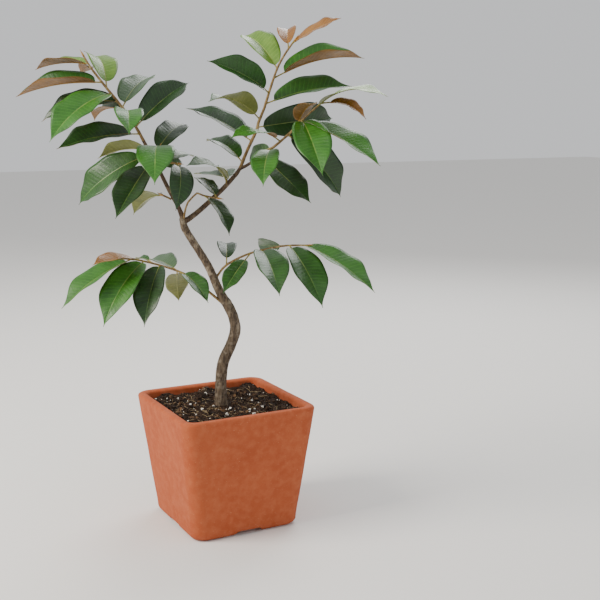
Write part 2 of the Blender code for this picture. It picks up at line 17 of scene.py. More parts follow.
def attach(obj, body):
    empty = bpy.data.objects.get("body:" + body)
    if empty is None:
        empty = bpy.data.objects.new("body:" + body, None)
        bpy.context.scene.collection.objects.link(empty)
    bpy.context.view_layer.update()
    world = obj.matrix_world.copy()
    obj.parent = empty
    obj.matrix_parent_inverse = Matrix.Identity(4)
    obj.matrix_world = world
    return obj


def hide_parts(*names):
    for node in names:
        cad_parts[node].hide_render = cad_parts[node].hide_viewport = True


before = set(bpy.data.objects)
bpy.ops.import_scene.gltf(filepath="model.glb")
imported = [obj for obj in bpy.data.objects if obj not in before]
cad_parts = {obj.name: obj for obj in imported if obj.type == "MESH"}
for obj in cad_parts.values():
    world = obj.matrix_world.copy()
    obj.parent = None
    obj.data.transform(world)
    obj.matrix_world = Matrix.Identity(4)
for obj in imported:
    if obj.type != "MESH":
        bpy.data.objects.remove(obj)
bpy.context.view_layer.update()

MM = 0.001
CROWN_TURN = -27.8
CROWN = Matrix.Rotation(math.radians(CROWN_TURN), 4, "Z")
SEED = 41

# Where the camera stands, in the crown frame, how far it looks down, and its lens
EYE = (96.7, -1304.1, 519.6)
LOOK_DOWN = 10.2
FOCAL = 63.24
SENSOR = 36

# Half the side of the studio's floor, in metres
FLOOR_SIZE = 8

# Pot, a tapered square with rounded corners
POT_HEIGHT = 157
POT_RIM_SIDE = 180
POT_BASE_SIDE = 142
POT_WALL = 11.5
POT_FLOOR = 14
POT_CORNER_RADIUS = 17
CAVITY_CORNER_RADIUS = 9
FOOT_ROUNDING = 7
LIP_ROUNDING = 4

# A ring's corner: the least radius, and the most as a share of half the ring's side
SMALLEST_CORNER = 0.5
ROUNDEST_CORNER = 0.9

# How finely the pot is drawn: rings on the underside, wall, lip and floor, and points round each
UNDERSIDE_SHARES = (0.12, 0.3, 0.5, 0.7, 0.85)
FOOT_CORNER_SHARE = 0.3
OUTER_ROWS = 30
INNER_ROWS = 24
FLOOR_SHARES = (0.85, 0.6, 0.35, 0.12)
FLOOR_REACH = 60
ROUNDING_STEPS = 6
CORNER_STEPS = 10
SIDE_STEPS = 14
SHARP_ANGLE = 50

# Dents of the pressed wall: how far they run and how deep they are, and how far all are sunk
CLAY_DENTS = ((38, 0.35), (9, 0.12))
DENT_SINK = 0.3

# Drainage channel under the middle of each side, and the hole at its inner end
NOTCH_FOOT_WIDTH = 43
NOTCH_TOP_WIDTH = 31
NOTCH_HEIGHT = 6
NOTCH_EDGE = 1.2
NOTCH_EDGE_STEPS = 3
DRAIN_OFFSET = 32
DRAIN_RADIUS = 7
DRAIN_SIDES = 28
CLEAR_PAST = 8

# Soil, low hills with a flat place under the trunk
SOIL_GAP = 0.3
SOIL_LEVEL = 149
SOIL_HILL = 2.2
SOIL_WAVES = (0.11, 0.09)
SOIL_SHIFTS = (0.8, -0.4)
SOIL_CROSS_WAVE = (0.21, 0.17)
SOIL_CROSS_SHARE = 0.6
SOIL_FLAT_RADIUS = 26
SOIL_BLEND = 16
SOIL_PEAK = (-27, 42)
SOIL_PEAK_HEIGHT = 5
SOIL_PEAK_RADIUS = 20
SOIL_STEPS = 110

# Lumps of the soil: height, run, and the slice of the noise each is read from; and their sinking
SOIL_LUMPS = ((1.3, 6, 3), (0.7, 2.2, 7))
LUMP_SINK = 0.6

# Loose bits: count, how clear of the wall, smallest size, spread of sizes, how rare big ones are,
# how far each stands out by its size, and its finishes
CRUMBS = (5200, 2, 0.9, 2.4, 3, 0.2, (0, 0, 1))
CHIPS = (160, 4, 2.5, 3, 1, 0.15, (0, 1, 2))
PERLITE = (90, 3, 1.2, 3, 2.5, 0.25, (0,))

# How far a bit's corners reach, how far it is turned, and the fine roots among the bits
BIT_REACH = ((0.55, 1.15), (0.4, 1), (0.3, 0.8))
BIT_TURN = 6.3
ROOTLET_COUNT = 130
ROOTLET_MARGIN = 12
ROOTLET_LENGTH = (5, 16)
ROOTLET_BEND = 1.2
ROOTLET_RADIUS = (0.16, 0.24)
ROOTLET_LIFT = 0.5
ROOTLET_ARCH = 0.8
ROOTLET_POINTS = 9
ROOTLET_SIDES = 5

# Trunk and boughs: waypoints (x, y, z, radius) in the crown frame
TRUNK = (
    (-4, 0, 141, 9.6), (-4, 0, 150, 8.8), (-4, -1, 162, 7.6), (-4, -1, 182, 7.2),
    (0, -2, 207, 7.2), (9, -3, 227, 6.8), (15, -4, 247, 6.8), (13, -4, 263, 6.4),
    (6, -3, 279, 6.4), (-4, -2, 296, 5.6), (-18, 0, 328, 4.9), (-37, 2, 359, 4.6),
    (-47, 3, 376, 4.6), (-49, 4, 386, 4.4),
)
LEFT_LIMB = (
    (-48, 4, 382, 3.4), (-53, 1, 400, 2.9), (-65, -6, 425, 2.5), (-75, -12, 448, 2.3),
    (-87, -18, 473, 2.1), (-100, -23, 500, 1.9), (-116, -26, 524, 1.7),
    (-132, -30, 545, 1.5), (-149, -34, 568, 1.3), (-157, -36, 582, 1.1),
)
LEFT_BOUGH_SHARE = 0.485
RIGHT_BOUGH = (
    (-48, 4, 383, 3.6), (-33, 7, 393, 3.3), (-5, 12, 418, 2.9), (16, 15, 440, 2.6),
    (23, 16, 450, 2.3),
)
UPPER_RIGHT_LIMB = (
    (22, 16, 448, 2.3), (31, 14, 470, 2.0), (44, 10, 497, 1.9), (46, 9, 506, 1.8),
    (53, 6, 522, 1.7), (58, 4, 538, 1.6), (69, 0, 569, 1.4), (79, -1, 587, 1.3),
    (90, -3, 602, 1.1),
)
RIGHT_ARM_LIMB = (
    (22, 16, 448, 2.2), (35, 10, 455, 1.9), (50, 4, 467, 1.8), (64, 0, 475, 1.7),
    (86, -8, 494, 1.5), (97, -12, 506, 1.4), (109, -16, 517, 1.2), (122, -20, 528, 1.1),
)
RIGHT_ARM_SHARE = 0.2

# Stems and twigs of the masses
FORK_SPRIG_STEM = (
    (-48, 2, 386, 1.5), (-46, -1, 395, 1.3), (-42, -6, 407, 1.2), (-35, -9, 415, 1.1),
    (-30, -10, 420, 1.1), (-22, -11, 417, 1.1), (-12, -12, 415, 1.1), (-5, -13, 414, 1.1),
)
INNER_STEM = ((5, 12, 429, 1.4), (6, 13, 433, 1.3), (5.5, 13, 438, 1.2))
BOUGH_LEAF_STEM = ((-62, -5, 412, 1.3), (-66, -8, 414, 1.2), (-71, -10, 417, 1.1))
LEFT_MID_STEM = (
    (-76, -12, 450, 1.5), (-78, -18, 457, 1.4), (-79, -20, 466, 1.3), (-75, -18, 473, 1.2),
)
LEFT_MID_LEFT = ((-78, -17, 458, 1.2), (-86, -15, 460, 1.2), (-94, -12, 464, 1.1))
LEFT_MID_RIGHT = ((-77, -16, 455, 1.2), (-66, -13, 457, 1.2), (-53, -14, 456, 1.1))
LOW_LEFT_STEM = (
    (0, -3, 281, 1.8), (-15, -7, 295, 1.6), (-31, -10, 309, 1.5), (-46, -13, 320, 1.4),
    (-70, -18, 330, 1.3), (-93, -23, 337, 1.2), (-112, -28, 342, 1.1),
)
LOW_RIGHT_STEM = (
    (-10, -1, 311, 1.7), (2, 2, 327, 1.5), (20, 1, 338, 1.4), (40, -1, 346, 1.3),
    (67, -1, 352, 1.2), (82, 0, 354, 1.2), (107, 2, 354, 1.1),
)

# Bark relief: how far ridges, fine cracks and bulges run, and how high they stand
TRUNK_CRACK = (2.6, 0.42)
BOUGH_CRACK = (1.7, 0.2)
RIDGE_DRAWN = 4.5
FINE_CRACK = 1.1
FINE_RUN = 3.5
FINE_SHARE = 0.45
BULGE_RUN = 11
BULGE_SHARE = 0.05
RIB_RUN = 1.6
RIB_SHARE = 0.1
NODE_RUN = 7
NODE_SHARE = 0.12

# Knots on the trunk's front: x, z, how proud each one stands, and its size
KNOT_HEIGHT = 0.9
KNOT_REACH = 3
KNOTS = (
    (-3, 321, 0.9, 1.5), (1, 318, 0.6, 1.3), (-12, 356, 0.9, 1.3), (-17, 356, 0.4, 1.2),
    (-37, 372, 0.5, 1.2), (13, 262, 0.8, 1.4), (3, 250, 0.7, 1.2), (-4, 196, 0.9, 1.5),
)

# Leaf blade, a blunt base and a drawn-out drip tip
BLADE_RATIO = 0.44
BLADE_THICKNESS = 0.4
BLADE_END_HALF_WIDTH = 0.35
LEAST_ARCH = 1
WIDTH_POWER = 0.42
TIP_START = 0.42
TIP_POWER = 2.0
ACROSS = (0, 0.035, 0.18, 0.38, 0.6, 0.82, 1)
MARGIN_THINNING = 0.5

# Side veins: how far apart, their slant to the tip, and the rows of points from one to the next
VEIN_SPACING = 5.2
FEWEST_VEINS = 6
VEIN_SLANT = 0.1
VEIN_STEPS = (-0.07, 0.07, 0.3, 0.5, 0.7)
FIRST_ROW = 0.004
LAST_ROW = 0.985

# The blade bulges between its veins, and its margin waves by a share of its length
QUILT_HEIGHT = 0.25
QUILT_POWER = 0.7
RIB_TROUGH = 0.12
MARGIN_WAVE = 0.012
MARGIN_WAVES = (2.2, 3.4)
MARGIN_LAG = 0.9

# Midrib under the blade, stalk and bud
RIB_POINTS = 24
RIB_TAPER = 0.78
RIB_SINK = 0.45
PETIOLE_ROOT_RADIUS = 1.25
PETIOLE_END_RADIUS = 0.85
PETIOLE_POINTS = 9
PETIOLE_SWELL = 2.5
SHORTEST_PETIOLE = 0.5
BUD_LENGTH = 9
BUD_POINTS = 7
BUD_BELLY = 0.35
BUD_BELLY_RUN = 1.6
BUD_TAPER = 0.8
BUD_TIP_RADIUS = 0.12

# How finely limbs are drawn
SPLINE_PIECES = 16
COARSE_STEP = 9
CUT_STEP = 1
END_STEPS = 5
TWIG_END_STEPS = 3
TRUNK_STEP = 1.6
TRUNK_SINK = 2.7
BOUGH_STEP = 1.6
TWIG_STEP = 2
TRUNK_SIDES = 44
BOUGH_SIDES = 26
TWIG_SIDES = 12
PETIOLE_SIDES = 8

# Plain blades that feel for what a leaf would touch: rows along and points across
COARSE_ROWS = (0, 0.07, 0.22, 0.42, 0.64, 0.84, 1)
COARSE_ACROSS = (-1, 0, 1)

# Leaf rows: share along the stem, petiole, heading, rise, roll, length, fold, arch, the tint of the
# upper face, and where they aren't the usual ones the tint of the underside and the twist. The darkest,
# brightest and grey upper tints are painted shade, painted light and a painted sheen.
LEFT_TOP_LEAVES = (
    (0.92, 4, 155, -5, -5, 75, 25, 25, "lime", "bronze"),
    (0.7, 8, 175, -10, -15, 100, 35, 25, "mid", "bronze"),
    (0.88, 12, 115, -10, 20, 45, 25, 30, "mid", "bronze"),
    (0.63, 10, 115, 20, 10, 90, 15, 70, "lime"),
    (0.56, 7, 235, -30, -15, 110, 15, 45, "bright"),
    (0.46, 3, 180, -15, -35, 95, 20, 50, "dark", "bronze"),
    (0.39, 10, 75, 20, 0, 95, 20, 35, "grey"),
    (0.16, 10, 50, 30, 30, 95, 30, 30, "dark"),
    (0.32, 13, 280, -20, -5, 80, 15, 60, "bright"),
    (0.37, 5, 135, -15, -25, 60, 30, 55, "grey", "bronze"),
    (0.08, 11, 210, -10, -30, 95, 25, 25, "dark", "bronze"),
)
LEFT_MID_LEAVES = (
    (0.89, 16, 160, -10, 25, 70, 25, 40, "mid"),
    (0.98, 4, 70, 20, 15, 80, 15, 45, "dark"),
    (1.0, 16, 275, -25, 0, 100, 5, 75, "bright"),
)
LEFT_MID_LEFT_LEAVES = (
    (1.0, 4, 165, -35, -60, 105, 20, 45, "mid"),
    (0.33, 15, 250, -35, -10, 95, 25, 10, "dark"),
)
LEFT_MID_RIGHT_LEAVES = (
    (1.0, 14, 270, -50, -25, 70, 15, 80, "dark"),
    (0.39, 14, 65, 0, 15, 55, 10, 40, "grey"),
    (0.07, 3, 60, 0, 65, 45, 20, 30, "mid"),
)
BOUGH_LEAVES = (
    (1.0, 11, 130, -25, 10, 70, 25, 45, "mid"),
)
FORK_SPRIG_LEAVES = (
    (1.0, 6, 125, 20, 5, 55, 10, 40, "dark"),
    (0.77, 8, 305, -40, -15, 65, 20, 40, "dark"),
)
INNER_LEAVES = (
    (0.38, 5, 230, 15, -20, 75, 5, 80, "grey"),
    (0.52, 11, 95, 5, 10, 60, 20, 30, "mid"),
    (1.0, 8, 130, 0, -5, 65, 10, 10, "mid"),
)
RIGHT_TOP_LEAVES = (
    (0.98, 4, 325, 20, 35, 70, 10, 15, "copper", "bronze"),
    (0.93, 10, 90, 20, -10, 60, 25, 45, "copper", "bronze"),
    (0.77, 6, 120, 25, -15, 95, 25, 45, "lime"),
    (0.7, 15, 15, 10, 15, 105, 40, 35, "bright", "bronze"),
    (0.59, 12, 220, 20, -70, 90, 40, 35, "mid"),
    (0.51, 11, 10, 10, 30, 100, 25, 25, "mid"),
    (0.39, 10, 230, 10, 10, 85, 20, 60, "grey", "olive", -50),
    (0.22, 9, 145, 20, -10, 105, 20, 20, "dark"),
    (0.05, 9, 130, 15, -10, 75, 20, 50, "mid"),
    (0.33, 7, 35, 5, 80, 110, 30, 50, "dark"),
)
RIGHT_ARM_LEAVES = (
    (0.21, 12, 265, -30, 5, 80, 15, 45, "bright"),
    (0.07, 12, 320, -35, 25, 85, 10, 5, "dark"),
    (0.71, 6, 285, -35, 10, 105, 20, 30, "bright"),
    (0.47, 5, 35, -45, 80, 110, 30, 40, "dark"),
    (0.69, 9, 325, -25, 5, 115, 20, 20, "bright", "olive", 5),
    (0.63, 8, 290, 20, 5, 60, 15, 40, "mid", "bronze"),
    (0.95, 4, 330, 5, 10, 95, 5, 65, "lime", "olive", -5),
    (1.0, 12, 350, -25, 25, 50, 20, 65, "copper", "bronze"),
    (0.35, 11, 220, 0, -15, 70, 5, 60, "bright", "bronze", -30),
    (0.25, 8, 125, -20, -70, 50, 20, 30, "grey"),
    (0.27, 6, 50, 30, -60, 45, 20, 30, "lime"),
)
LOW_LEFT_LEAVES = (
    (0.97, 8, 215, -30, -5, 100, 20, 25, "bright"),
    (0.86, 4, 235, -45, -15, 100, 15, 50, "bright"),
    (0.71, 3, 260, -45, 5, 90, 20, 30, "dark"),
    (0.54, 13, 95, -40, -10, 70, 15, 30, "mid"),
    (0.51, 10, 310, -30, 10, 60, 25, 45, "mid"),
    (0.53, 14, 120, 0, -10, 80, 25, 20, "grey"),
    (0.9, 10, 230, 0, -10, 65, 20, 25, "copper", "bronze"),
    (0.77, 11, 130, -5, -10, 30, 25, 40, "mid"),
)
LOW_RIGHT_LEAVES = (
    (0.18, 13, 95, 10, 5, 60, 15, 55, "dark"),
    (0.44, 15, 240, -35, -15, 60, 15, 15, "mid"),
    (0.55, 5, 285, -25, 0, 100, 25, 35, "mid"),
    (0.82, 6, 300, -40, 5, 100, 20, 30, "mid"),
    (0.97, 4, 335, -30, 10, 105, 20, 25, "bright"),
    (0.79, 12, 120, -5, -100, 60, 30, 20, "grey"),
)


# Materials

# Sockets of the Mix node when it mixes colours
MIX_SHARE = 0
MIX_UNDER = 6
MIX_OVER = 7
MIX_RESULT = 2

# Bark cracks are drawn out along the upright limbs
LENGTHWISE = (1, 1, 0.22)


def linear(code):
    """An sRGB hex colour as linear red, green, blue and alpha."""
    shares = [int(code[k:k + 2], 16) / 255 for k in (1, 3, 5)]
    return (*[s / 12.92 if s <= 0.04045 else ((s + 0.055) / 1.055) ** 2.4 for s in shares], 1)


def per_metre(size):
    """A pattern's scale from the real size of its grain in millimetres."""
    return 1000 / size


def add_node(tree, kind, inputs=None, **settings):
    """Add a node with its settings; an input is a value, a hex colour or the socket that feeds it."""
    made = tree.nodes.new(kind)
    for name, value in settings.items():
        setattr(made, name, value)
    for name, value in (inputs or {}).items():
        if isinstance(value, bpy.types.NodeSocket):
            tree.links.new(value, made.inputs[name])
        else:
            made.inputs[name].default_value = linear(value) if isinstance(value, str) else value
    return made


def grain_share(tree, place, size, low, high, detail=2, stretch=(1, 1, 1)):
    """A grain: a noise of a real size in millimetres, read as a share between two of its levels."""
    stretched = add_node(tree, "ShaderNodeMapping", {"Vector": place, "Scale": stretch})
    grain = add_node(tree, "ShaderNodeTexNoise", {
        "Vector": stretched.outputs["Vector"], "Scale": per_metre(size), "Detail": detail})
    share = add_node(tree, "ShaderNodeMapRange", {
        "Value": grain.outputs["Fac"], "From Min": low, "From Max": high})
    return share.outputs["Result"]


def make_material(name, ground, coats, relief, depth, levels):
    """A material: a ground colour, coats over it that are each a grain and a colour, a relief that is
    a grain with a real depth in millimetres, and the shader's levels that are the same all over."""
    mat = bpy.data.materials.new(name)
    mat.use_nodes = True
    tree = mat.node_tree
    shader = tree.nodes["Principled BSDF"]
    place = add_node(tree, "ShaderNodeTexCoord").outputs["Object"]
    for grain, colour in coats:
        share = grain_share(tree, place, *grain)
        mix = add_node(tree, "ShaderNodeMix", {MIX_SHARE: share, MIX_UNDER: ground, MIX_OVER: colour},
                       data_type="RGBA")
        ground = mix.outputs[MIX_RESULT]
    bump = add_node(tree, "ShaderNodeBump", {
        "Height": grain_share(tree, place, *relief), "Distance": depth * MM, "Strength": 1})
    tree.links.new(ground, shader.inputs["Base Color"])
    tree.links.new(bump.outputs["Normal"], shader.inputs["Normal"])
    for level, value in levels.items():
        shader.inputs[level].default_value = value
    return mat


def pressed_terracotta():
    """Low-fired red clay, pressed in a mould: porous, so it is matte and paler where dry salts sit,
    with sand specks both lighter and darker than the body."""
    coats = (
        ((45, 0.3, 0.7, 3), "#A6522E"),
        ((9, 0.4, 0.9, 6), "#B2623E"),
        ((1.3, 0.68, 0.78), "#C48460"),
        ((1.5, 0.69, 0.8), "#7E3C20"),
    )
    pores = (1.1, 0.2, 0.8, 5)
    return make_material("pressed_terracotta", "#9E4A28", coats, pores, 0.12,
                         {"Roughness": 0.86, "IOR": 1.5, "Specular IOR Level": 0.3})


def peat_mix():
    """Moist peat and bark fines: nearly black, with brown fibres that catch a little light."""
    coats = (
        ((9, 0.35, 0.65, 5), "#33241A"),
        ((1.2, 0.6, 0.75, 3, (1, 0.3, 1)), "#5A4230"),
    )
    fines = (0.9, 0.2, 0.8, 5)
    return make_material("peat_mix", "#1A120C", coats, fines, 0.5,
                         {"Roughness": 0.95, "Specular IOR Level": 0.25})


def crumbs_of(name, low, high):
    """Loose crumbs of the mix: dull, each a little lighter or darker than the next."""
    coats = (((2.5, 0.35, 0.65), high),)
    grit = (0.6, 0.2, 0.8, 3)
    return make_material(name, low, coats, grit, 0.2, {"Roughness": 0.93, "Specular IOR Level": 0.25})


def expanded_perlite():
    """Volcanic glass puffed into white crumbs: chalky and faintly uneven."""
    coats = (((1.5, 0.4, 0.7), "#C9C0B0"),)
    bubbles = (0.5, 0.3, 0.7)
    return make_material("expanded_perlite", "#F0ECE2", coats, bubbles, 0.15, {"Roughness": 0.7})


def grown_bark(name, groove, ridge, patch, crack, depth):
    """Living bark: fine lengthwise cracks between dull ridges, and grey patches where it weathered."""
    streaks = (crack, 0.38, 0.62, 4, LENGTHWISE)
    coats = ((streaks, ridge), ((9, 0.52, 0.68, 4), patch))
    return make_material(name, groove, coats, streaks, depth,
                         {"Roughness": 0.8, "Specular IOR Level": 0.35})


def leaf_cuticle(name, shade, light):
    """Upper face of a leathery leaf: a waxy cuticle gives it a clear, slightly broken shine."""
    coats = (((14, 0.3, 0.7, 4), light),)
    pebbling = (1.8, 0.3, 0.7, 3)
    return make_material(name, shade, coats, pebbling, 0.12,
                         {"Roughness": 0.42, "IOR": 1.45, "Coat Weight": 0.12, "Coat Roughness": 0.22})


def silky_underside(name, shade, light):
    """Underside of the leaf: flattened silky hairs, which glow a little at the edges and never shine."""
    coats = (((10, 0.3, 0.7, 4), light),)
    nap = (1.2, 0.3, 0.7, 3)
    return make_material(name, shade, coats, nap, 0.1,
                         {"Roughness": 0.55, "Sheen Weight": 0.25, "Sheen Roughness": 0.4})


def leaf_rib(name, shade, light):
    """Midrib and side veins: firmer, paler tissue than the blade."""
    coats = (((8, 0.35, 0.65), light),)
    fibres = (1.5, 0.3, 0.7)
    return make_material(name, shade, coats, fibres, 0.08, {"Roughness": 0.42})


# Tints: shade and light of the blade's mottle, then of its veins. Mid, lime and copper are the leaves'
# own colours; the darkest, brightest and grey tints are the mid green with painted shade, painted light
# and a painted sheen.
UPPER_TINTS = {
    # Painted shade: the mid green darkened for leaves turned from the light
    "dark": ("#112B08", "#1B3F0E", "#224913", "#466126"),
    "mid": ("#1A400B", "#285614", "#2F601A", "#567531"),
    # Painted light: the mid green lightened for lit and backlit leaves
    "bright": ("#26590F", "#376F1B", "#3E7821", "#68893A"),
    "lime": ("#4F7420", "#678B2E", "#729539", "#96A856"),
    # Painted sheen: the mid green greyed where the waxy cuticle shines
    "grey": ("#304E29", "#45613C", "#4E6B44", "#7A8E62"),
    "copper": ("#74480E", "#8E5E16", "#96661C", "#A87E34"),
}
UNDER_TINTS = {
    "bronze": ("#6B470E", "#8C601A", "#764E12", "#A07A32"),
    "olive": ("#5C6424", "#767C36", "#66682A", "#8C8E4A"),
}


def tint_materials():
    """For each tint, the blade, the side veins and the midrib."""
    made = {}
    for tint, (shade, light, vein, rib) in UPPER_TINTS.items():
        made[tint] = (leaf_cuticle(f"leaf_cuticle_{tint}", shade, light),
                      leaf_rib(f"leaf_vein_{tint}", light, vein),
                      leaf_rib(f"leaf_midrib_{tint}", vein, rib))
    for tint, (shade, light, vein, rib) in UNDER_TINTS.items():
        made[tint] = (silky_underside(f"leaf_underside_{tint}", shade, light),
                      leaf_rib(f"underside_vein_{tint}", shade, vein),
                      leaf_rib(f"underside_midrib_{tint}", light, rib))
    return made


# Limbs


def smooth_route(waypoints, step):
    """Points a step apart on a smooth curve through the waypoints, each with a radius."""
    points = [Vector(p) for p in waypoints]
    points = [2 * points[0] - points[1]] + points + [2 * points[-1] - points[-2]]
    fine = []
    for before, start, end, after in zip(points, points[1:], points[2:], points[3:]):
        for k in range(SPLINE_PIECES):
            t = k / SPLINE_PIECES
            fine.append(0.5 * (2 * start + (end - before) * t
                               + (2 * before - 5 * start + 4 * end - after) * t * t
                               + (3 * start - before - 3 * end + after) * t ** 3))
    fine.append(points[-2])
    return resample(fine, step)


def resample(points, step):
    """The same route with points a near-equal step apart."""
    runs = [0.0]
    for a, b in zip(points, points[1:]):
        runs.append(runs[-1] + (b - a).xyz.length)
    count = max(2, round(runs[-1] / step) + 1)
    result = []
    k = 0
    for i in range(count):
        run = runs[-1] * i / (count - 1)
        while k < len(runs) - 2 and runs[k + 1] < run:
            k += 1
        share = (run - runs[k]) / (runs[k + 1] - runs[k])
        result.append(points[k].lerp(points[k + 1], min(1, share)))
    return result


def route_length(route):
    """The route's length in millimetres."""
    return sum((b - a).xyz.length for a, b in zip(route, route[1:]))


def point_at(route, share):
    """The point at a share of the route's length."""
    left = share * route_length(route)
    for a, b in zip(route, route[1:]):
        run = (b - a).xyz.length
        if left <= run:
            return a.lerp(b, left / run)
        left -= run
    return route[-1].copy()


def cut_route(route, first, last, step):
    """The stretch of a route between two shares of its length."""
    fine = resample(route, CUT_STEP)
    picked = fine[round(first * (len(fine) - 1)):round(last * (len(fine) - 1)) + 1]
    return resample(picked, step)


def round_end(route, steps=END_STEPS):
    """The route with its last point drawn out into a rounded end."""
    tip = route[-1]
    ahead = (tip - route[-2]).xyz.normalized()
    ended = list(route)
    for k in range(1, steps + 1):
        angle = math.pi / 2 * k / (steps + 0.5)
        place = tip.xyz + ahead * tip.w * math.sin(angle)
        ended.append(Vector((*place, tip.w * math.cos(angle))))
    return ended


class Shape:
    """Vertices and faces gathered in millimetres, with a material number for each face."""

    def __init__(self):
        self.verts = []
        self.faces = []
        self.finish = []

    def add(self, verts, faces, finish):
        """Take in a form, with one finish for all of its faces or one for each."""
        first = len(self.verts)
        self.verts.extend(verts)
        self.faces.extend(tuple(first + i for i in face) for face in faces)
        self.finish.extend(finish if isinstance(finish, list) else [finish] * len(faces))

    def piece(self, name, materials, place=CROWN, smooth=True):
        """The gathered shape as one object in the scene."""
        mesh = bpy.data.meshes.new(name)
        mesh.from_pydata([place @ (Vector(v) * MM) for v in self.verts], [], self.faces)
        for mat in materials:
            mesh.materials.append(mat)
        mesh.polygons.foreach_set("material_index", self.finish)
        mesh.polygons.foreach_set("use_smooth", [smooth] * len(mesh.polygons))
        mesh.update()
        obj = bpy.data.objects.new(name, mesh)
        bpy.context.scene.collection.objects.link(obj)
        return obj


def ring_directions(route):
    """For each point of a route, two directions across it that turn as little as possible."""
    found = []
    side = None
    for k in range(len(route)):
        ahead = (route[min(k + 1, len(route) - 1)] - route[max(k - 1, 0)]).xyz.normalized()
        if side is None:
            side = ahead.orthogonal().normalized()
        side = (side - side.dot(ahead) * ahead).normalized()
        found.append((side, ahead.cross(side)))
    return found


def tube_faces(rings, count):
    """Faces of a closed tube of rings with the same count of points, and its two ends."""
    last = (rings - 1) * count
    faces = []
    for low in range(0, last, count):
        high = low + count
        for j in range(count):
            after = (j + 1) % count
            faces.append((low + j, low + after, high + after, high + j))
    return faces + [tuple(reversed(range(count))), tuple(range(last, last + count))]


def limb_shape(shape, route, sides, finish, swell=None):
    """A closed round limb along a route; swell adds to the radius by place and direction."""
    verts = []
    for point, (side, other) in zip(route, ring_directions(route)):
        for j in range(sides):
            angle = 2 * math.pi * j / sides
            out = side * math.cos(angle) + other * math.sin(angle)
            radius = point.w
            if swell:
                radius += swell(point.xyz, out, point.w)
            verts.append(point.xyz + out * radius)
    shape.add(verts, tube_faces(len(route), sides), finish)


def bark_swell(crack, depth):
    """Relief of bark: lengthwise ridges, slow bulges and knots."""
    def swell(place, out, radius):
        around = place + out * radius
        x, y, z = around
        ridges = noise.noise(Vector((x / crack, y / crack, z / (crack * RIDGE_DRAWN))))
        fine = noise.noise(Vector((x / FINE_CRACK, y / FINE_CRACK, z / FINE_RUN)))
        slow = noise.noise(around / BULGE_RUN)
        added = depth * (ridges + FINE_SHARE * fine) + BULGE_SHARE * radius * slow
        for knot_x, knot_z, proud, size in KNOTS:
            off = math.hypot(x - knot_x, z - knot_z)
            if off < KNOT_REACH * size and out.y < 0:
                added += KNOT_HEIGHT * size * math.exp(-(off / size) ** 2) * proud
        return added
    return swell


def twig_swell(place, out, radius):
    """Young stems: faint ribs and swollen nodes."""
    around = place + out * radius
    ribs = RIB_SHARE * noise.noise(around / RIB_RUN)
    return radius * (ribs + NODE_SHARE * noise.noise(place / NODE_RUN))


# Leaves


def leaf_frame(heading, rise, roll):
    """Directions along a leaf, to its side and out of its upper face."""
    h, r, q = (math.radians(angle) for angle in (heading, rise, roll))
    along = Vector((math.cos(h) * math.cos(r), math.sin(h) * math.cos(r), math.sin(r)))
    level = Vector((math.sin(h), -math.cos(h), 0))
    upper = level.cross(along)
    return along, level * math.cos(q) - upper * math.sin(q), upper * math.cos(q) + level * math.sin(q)


def half_width(t):
    """Half the blade's width as a share of its length, at a share of the way to the tip."""
    power = WIDTH_POWER + TIP_POWER * max(0, t - TIP_START)
    return BLADE_RATIO / 2 * max(0, math.sin(math.pi * t)) ** power


class Leaf:
    """One leaf: where its blade starts, how the blade lies, and its tints."""

    def __init__(self, stem, chance, share, petiole, heading, rise, roll, length, fold, arch, tint,
                 under="olive", twist=0):
        self.along, self.side, self.upper = leaf_frame(heading, rise, roll)
        self.length = length
        self.fold = math.radians(fold)
        self.arch = math.radians(max(arch, LEAST_ARCH))
        self.twist = math.radians(twist)
        self.root = point_at(stem, share).xyz
        self.start = math.cos(self.arch / 2) * self.along + math.sin(self.arch / 2) * self.upper
        self.base = self.root + petiole * self.start
        self.tint = tint
        self.under = under
        self.phase = chance.uniform(0, 2 * math.pi)
        self.waves = chance.uniform(*MARGIN_WAVES)
        self.veins = max(FEWEST_VEINS, round(length / VEIN_SPACING))

    def midrib(self, t):
        """The midrib's point and the two directions across the blade there."""
        half = self.arch / 2
        turn = half - self.arch * t
        forward = self.length * (math.sin(half) - math.sin(turn)) / self.arch
        lift = self.length * (math.cos(turn) - math.cos(half)) / self.arch
        point = self.base + forward * self.along + lift * self.upper
        normal = math.cos(turn) * self.upper - math.sin(turn) * self.along
        bend = self.twist * (t - 0.5)
        side = self.side * math.cos(bend) - normal * math.sin(bend)
        return point, side, normal * math.cos(bend) + self.side * math.sin(bend)

    def surface(self, across, t):
        """The blade's point at a share across it, from -1 to 1, and along it, and the way out there."""
        point, side, normal = self.midrib(t)
        reach = max(half_width(t) * self.length, BLADE_END_HALF_WIDTH)
        flat = across * math.cos(self.fold) * side
        place = point + reach * (flat + abs(across) * math.sin(self.fold) * normal)
        return place, normal

    def quilted(self, across, t):
        """The surface with the blade bulging between its side veins and waving at the margin."""
        slanted = t + VEIN_SLANT * abs(across) * math.sin(math.pi * t)
        place, normal = self.surface(across, min(1, slanted))
        ends = math.sin(math.pi * t)
        bulge = QUILT_HEIGHT * abs(math.sin(math.pi * t * self.veins)) ** QUILT_POWER
        inner = 1 - abs(across) ** 3
        off_rib = min(1, abs(across) / RIB_TROUGH)
        lag = MARGIN_LAG if across > 0 else 0
        wave = MARGIN_WAVE * self.length * math.sin(2 * math.pi * self.waves * t + self.phase + lag)
        lift = bulge * inner * off_rib * ends + wave * across ** 2 * ends
        return place + lift * normal, normal


def vein_rows(leaf):
    """Shares along the blade where its rows of points lie, and whether a vein follows each."""
    rows = [(0.0, False)]
    for vein in range(leaf.veins + 1):
        for k, step in enumerate(VEIN_STEPS):
            t = (vein + step) / leaf.veins
            if FIRST_ROW < t < LAST_ROW:
                rows.append((t, k == 0))
    rows.append((1.0, False))
    return rows


